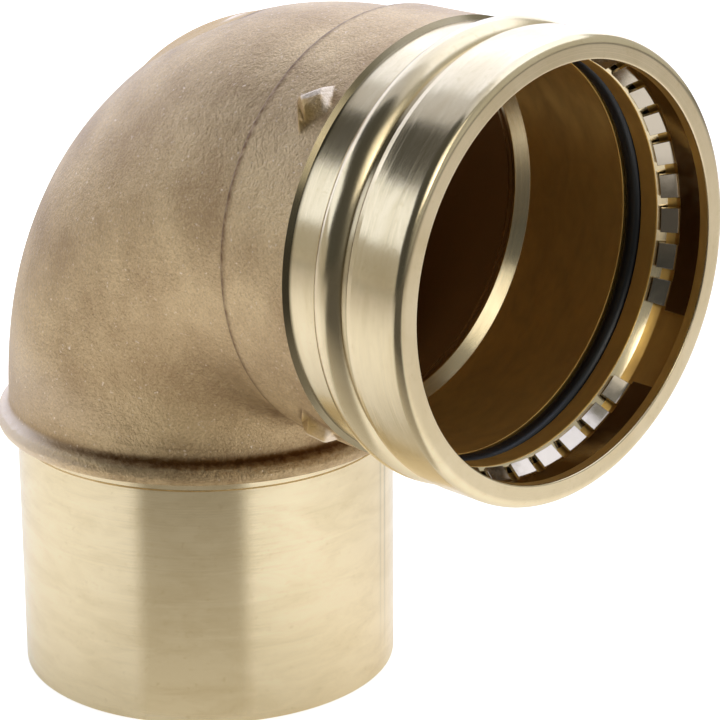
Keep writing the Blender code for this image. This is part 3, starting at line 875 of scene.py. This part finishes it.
class ELBOW_OT_spigot(bpy.types.Operator):
    """Builds the turned spigot with its relief groove and rounded end"""

    bl_idname = "elbow.spigot"
    bl_label = "Turned Spigot"

    def execute(self, context):
        sizes, colours = settings(context)
        tube, core = sizes.tube_radius / MM, sizes.core_radius / MM
        corners = [
            (tube - RELIEF, 72.0, 0),
            (tube - RELIEF, 70.5, 0.15),
            (tube, 70.2, 0.1),
            (tube, 0.0, 1.2),
            (core + 0.8, 0.0, 0.15),
            (core, 0.8, 0),
        ]
        outline = filleted(corners)
        points = spun_on_spigot(outline)
        mesh = quad_mesh("spigot_turned", points)
        # Two thin scratches run down the spigot, side by side, and fade toward its end.
        degrees = np.linspace(0.0, 360.0, points.shape[1], endpoint=False)
        scratches = 0.4 * ridge(degrees, 152.5, 0.9) + 0.28 * ridge(degrees, 156.2, 0.9)
        fade = ramp(outline[:, 1], 4.0, 18.0) * (outline[:, 0] > core + 1.0)
        paint(mesh, "stain_and_painted_light", fade[:, None] * scratches[None, :])
        finish = turned_bronze("turned_bronze_spigot", colours, "Z", (SPIGOT_X, 0.0, 0.0))
        place(mesh, finish, "elbow_body")
        return {"FINISHED"}


class ELBOW_OT_socket(bpy.types.Operator):
    """Builds the turned press socket: seal bead, barrel, mouth, ring chamber, seal groove and stop"""

    bl_idname = "elbow.socket"
    bl_label = "Turned Socket"

    def execute(self, context):
        sizes, colours = settings(context)
        outline = socket_outline(sizes)
        radius, along = outline[:, 0], outline[:, 1]
        at_mouth = along.argmax()
        points = spun_on_socket(outline)
        mesh = quad_mesh("socket_turned", points)
        # Painted shade darkens the groove behind the barrel, and the nick beside the cast boss is painted
        # darker.
        outside = (radius > sizes.tube_radius / MM + 3.0) & (np.arange(len(outline)) < at_mouth)
        grime_and_shade = (0.4 * ridge(along, 117.9, 0.8) + 0.68 * (along < 97.4)) * outside
        paint(mesh, "stain_and_painted_light", np.repeat(grime_and_shade[:, None], points.shape[1], axis=1))
        finish = turned_bronze("turned_bronze_socket", colours, "X", (0.0, 0.0, SOCKET_HEIGHT))
        place(mesh, finish, "elbow_body")
        # The bore is duller than the outside; the mouth, the stop and a strip of the cone stay bright.
        mesh.materials.append(bored_bronze(colours))
        middle = (along[:-1] + along[1:]) / 2
        bright_cone = (middle > 121.5) & (middle < 123.2)
        bored = (middle < 138.0) & (middle > 75.9) & ~bright_cone
        bored[:at_mouth] = False
        finishes = np.repeat(bored.astype(np.int32), len(mesh.polygons) // len(middle))
        mesh.polygons.foreach_set("material_index", finishes)
        return {"FINISHED"}


class ELBOW_OT_waterway(bpy.types.Operator):
    """Builds the cored wall of the waterway inside the elbow"""

    bl_idname = "elbow.waterway"
    bl_label = "Cored Waterway"

    def execute(self, context):
        sizes, colours = settings(context)
        start, knee, bend = elbow_stations(sizes)
        stations = np.concatenate([[0.8], np.linspace(start, knee, 64), [knee + NECK_END - bend]])
        # The turns run backward, so that the wall faces inward.
        turns = -np.linspace(-pi, pi, 160, endpoint=False)
        radii = np.full((len(stations), len(turns)), sizes.core_radius / MM)
        mesh = quad_mesh("waterway", sweep(stations, radii, turns, sizes))
        place(mesh, cored_bronze(colours), "elbow_body", sharp=0.0)
        return {"FINISHED"}


class ELBOW_OT_seal(bpy.types.Operator):
    """Builds the rubber seal in its groove"""

    bl_idname = "elbow.seal"
    bl_label = "Rubber Seal"

    def execute(self, context):
        sizes, colours = settings(context)
        section = sizes.seal_section / MM
        # The seal stands 0.3 mm into the tube's space, which is what seals.
        middle = sizes.tube_radius / MM - 0.3 + section
        turns = np.linspace(0.0, 2 * pi, 32, endpoint=False)
        outline = np.stack([middle + section * np.cos(turns), SEAL_X / MM - section * np.sin(turns)], -1)
        mesh = quad_mesh("rubber_seal", spun_on_socket(outline), close_along=True)
        place(mesh, moulded_rubber(colours), "o_ring", sharp=0.0)
        return {"FINISHED"}


class ELBOW_OT_cutting_ring(bpy.types.Operator):
    """Builds the split steel ring whose slotted edge is bent into teeth"""

    bl_idname = "elbow.cutting_ring"
    bl_label = "Cutting Ring"

    def execute(self, context):
        sizes, colours = settings(context)
        half = sizes.strip_thickness / MM / 2
        spine, on_band = strip_spine(sizes)
        slopes = np.gradient(spine, axis=0)
        slopes /= np.linalg.norm(slopes, axis=1)[:, None]
        normals = np.stack([-slopes[:, 1], slopes[:, 0]], -1)
        normals *= np.sign(normals[:, :1])
        marks, metal = strip_marks(np.degrees(sizes.tooth_slot))
        turns = np.radians(90.0 - marks)
        inner, outer = (spun_on_socket(spine + normals * side, turns) for side in (-half, half))
        present = np.array(metal)[:, None] | on_band[None, :]
        mesh = strip_mesh("cutting_ring_strip", inner.swapaxes(0, 1), outer.swapaxes(0, 1), present)
        finish = rolled_stainless(colours)
        piece = place(mesh, finish, "cutting_ring", sharp=35.0)
        bevel = piece.modifiers.new("Punched Edges", "BEVEL")
        bevel.width = 0.12 * MM
        bevel.segments = 2
        bevel.limit_method = "ANGLE"
        bevel.angle_limit = radians(50.0)
        return {"FINISHED"}


class ELBOW_OT_stage(bpy.types.Operator):
    """Sets out the studio: pale glowing table, softboxes, a dark sheet of painted reflection, sky and camera
    """

    bl_idname = "elbow.stage"
    bl_label = "Studio"

    def execute(self, context):
        scene = context.scene
        sizes, colours = settings(context)
        corners = np.array([(-1, -1, 0), (1, -1, 0), (1, 1, 0), (-1, 1, 0)]) * sizes.floor_size / 2
        mesh = new_mesh("floor", corners / MM, [(0, 1, 2, 3)])
        mesh.materials.append(opal_acrylic(colours))
        floor = new_object("floor", mesh)
        floor.location.z = -0.2 * MM
        for name, softbox in SOFTBOXES.items():
            self.light(name, *softbox)
        self.flag()
        self.sky(scene)
        self.camera(scene)
        scene.view_settings.view_transform = "Standard"
        return {"FINISHED"}

    def light(self, name, stand_at, target, width, tall, level, tint):
        """A softbox of even brightness, which faces its target."""
        lamp = bpy.data.lights.new(name, "AREA")
        lamp.shape = "RECTANGLE"
        lamp.size, lamp.size_y = width, tall
        lamp.energy = level * pi * width * tall
        lamp.color = linear(tint)
        stand = new_object(name, lamp)
        stand.location = stand_at
        stand.rotation_euler = (Vector(stand_at) - Vector(target)).to_track_quat("Z", "Y").to_euler()
        stand.visible_camera = False

    def flag(self):
        """Dark sheet that spreads over the table from the spigot's foot, seen in the metal alone: a painted
        reflection of shade.
        """
        foot_radius, edge_fade_share = 54.0, 0.12
        reach = np.array([4.0, 80.0, 200.0, 500.0, 2500.0])[:, None]
        share = np.linspace(0.0, 1.0, 41)
        foot = np.radians(-66.3 + 37.3 * share)
        aim = np.radians(-89.1 + 74.6 * share)
        x = SPIGOT_X / MM + foot_radius * np.cos(foot) + reach * np.cos(aim)
        y = foot_radius * np.sin(foot) + reach * np.sin(aim)
        mesh = quad_mesh("front_painted_reflection", np.stack([x, y, 0.5 + 0 * y], -1), close_round=False)
        edge_fade = ramp(np.minimum(share, 1.0 - share), edge_fade_share, 0.0)
        paint(mesh, "edge_fade", np.repeat(edge_fade[None, :], len(reach), axis=0))
        mesh.materials.append(painted_dark_reflection())
        shade_sheet = new_object("front_painted_reflection", mesh)
        shade_sheet.visible_camera = False
        shade_sheet.visible_diffuse = False
        shade_sheet.visible_shadow = False

    def sky(self, scene):
        """Studio walls: pale on the far side, dark on the near side, and plain white to the camera."""
        world = bpy.data.worlds.new("studio_walls")
        world.use_nodes = True
        tree = world.node_tree
        tree.nodes.clear()
        way = add(tree, "TexCoord", output="Generated")
        pale_side = (cos(radians(60.0)), sin(radians(60.0)), 0.0)
        toward = add(tree, "VectorMath", (way, pale_side), operation="DOT_PRODUCT")
        share = add(tree, "MapRange", {"Value": toward, "From Min": -0.25, "From Max": 0.75})
        walls = add(tree, "Mix", (share, linear("484845"), linear("BCBCB8")), data_type="RGBA")
        seen = add(tree, "LightPath", output="Is Camera Ray")
        shown = add(tree, "Mix", (seen, walls, linear("F9F9F9")), data_type="RGBA")
        add(tree, "OutputWorld", {"Surface": add(tree, "Background", (shown, 1.0))})
        scene.world = world

    def camera(self, scene):
        """Camera of the picture: a long lens that looks into the socket from a little above."""
        eye = bpy.data.cameras.new("studio_camera")
        eye.sensor_width = CAMERA_SENSOR
        eye.lens = CAMERA_LENS
        eye.shift_x, eye.shift_y = CAMERA_SHIFT
        eye.clip_start, eye.clip_end = 0.05, 50.0
        stand = new_object("studio_camera", eye)
        across, up = Vector(CAMERA_ACROSS), Vector(CAMERA_UP)
        turn = Matrix((across, up, across.cross(up).normalized())).transposed().to_4x4()
        stand.matrix_world = Matrix.Translation(CAMERA_PLACE) @ turn
        scene.camera = stand


class ELBOW_PT_panel(bpy.types.Panel):
    """Lists the elbow's sizes, colours and pieces."""

    bl_label = "Press Elbow"
    bl_space_type = "VIEW_3D"
    bl_region_type = "UI"
    bl_category = "Elbow"

    def draw(self, context):
        layout = self.layout
        for group in settings(context):
            box = layout.box()
            for name in group.__annotations__:
                box.prop(group, name)
        for operator in OPERATORS:
            layout.operator(operator.bl_idname)


OPERATORS = (
    ELBOW_OT_cast_skin,
    ELBOW_OT_spigot,
    ELBOW_OT_socket,
    ELBOW_OT_waterway,
    ELBOW_OT_seal,
    ELBOW_OT_cutting_ring,
    ELBOW_OT_stage,
)
CLASSES = (ElbowSizes, ElbowColours, *OPERATORS, ELBOW_PT_panel)


def register():
    for item in CLASSES:
        bpy.utils.register_class(item)
    bpy.types.Scene.elbow_sizes = bpy.props.PointerProperty(type=ElbowSizes)
    bpy.types.Scene.elbow_colours = bpy.props.PointerProperty(type=ElbowColours)


def unregister():
    del bpy.types.Scene.elbow_colours
    del bpy.types.Scene.elbow_sizes
    for item in reversed(CLASSES):
        bpy.utils.unregister_class(item)


def main():
    register()
    bpy.ops.elbow.cast_skin()
    bpy.ops.elbow.spigot()
    bpy.ops.elbow.socket()
    bpy.ops.elbow.waterway()
    bpy.ops.elbow.seal()
    bpy.ops.elbow.cutting_ring()
    bpy.ops.elbow.stage()


if __name__ == "__main__":
    main()
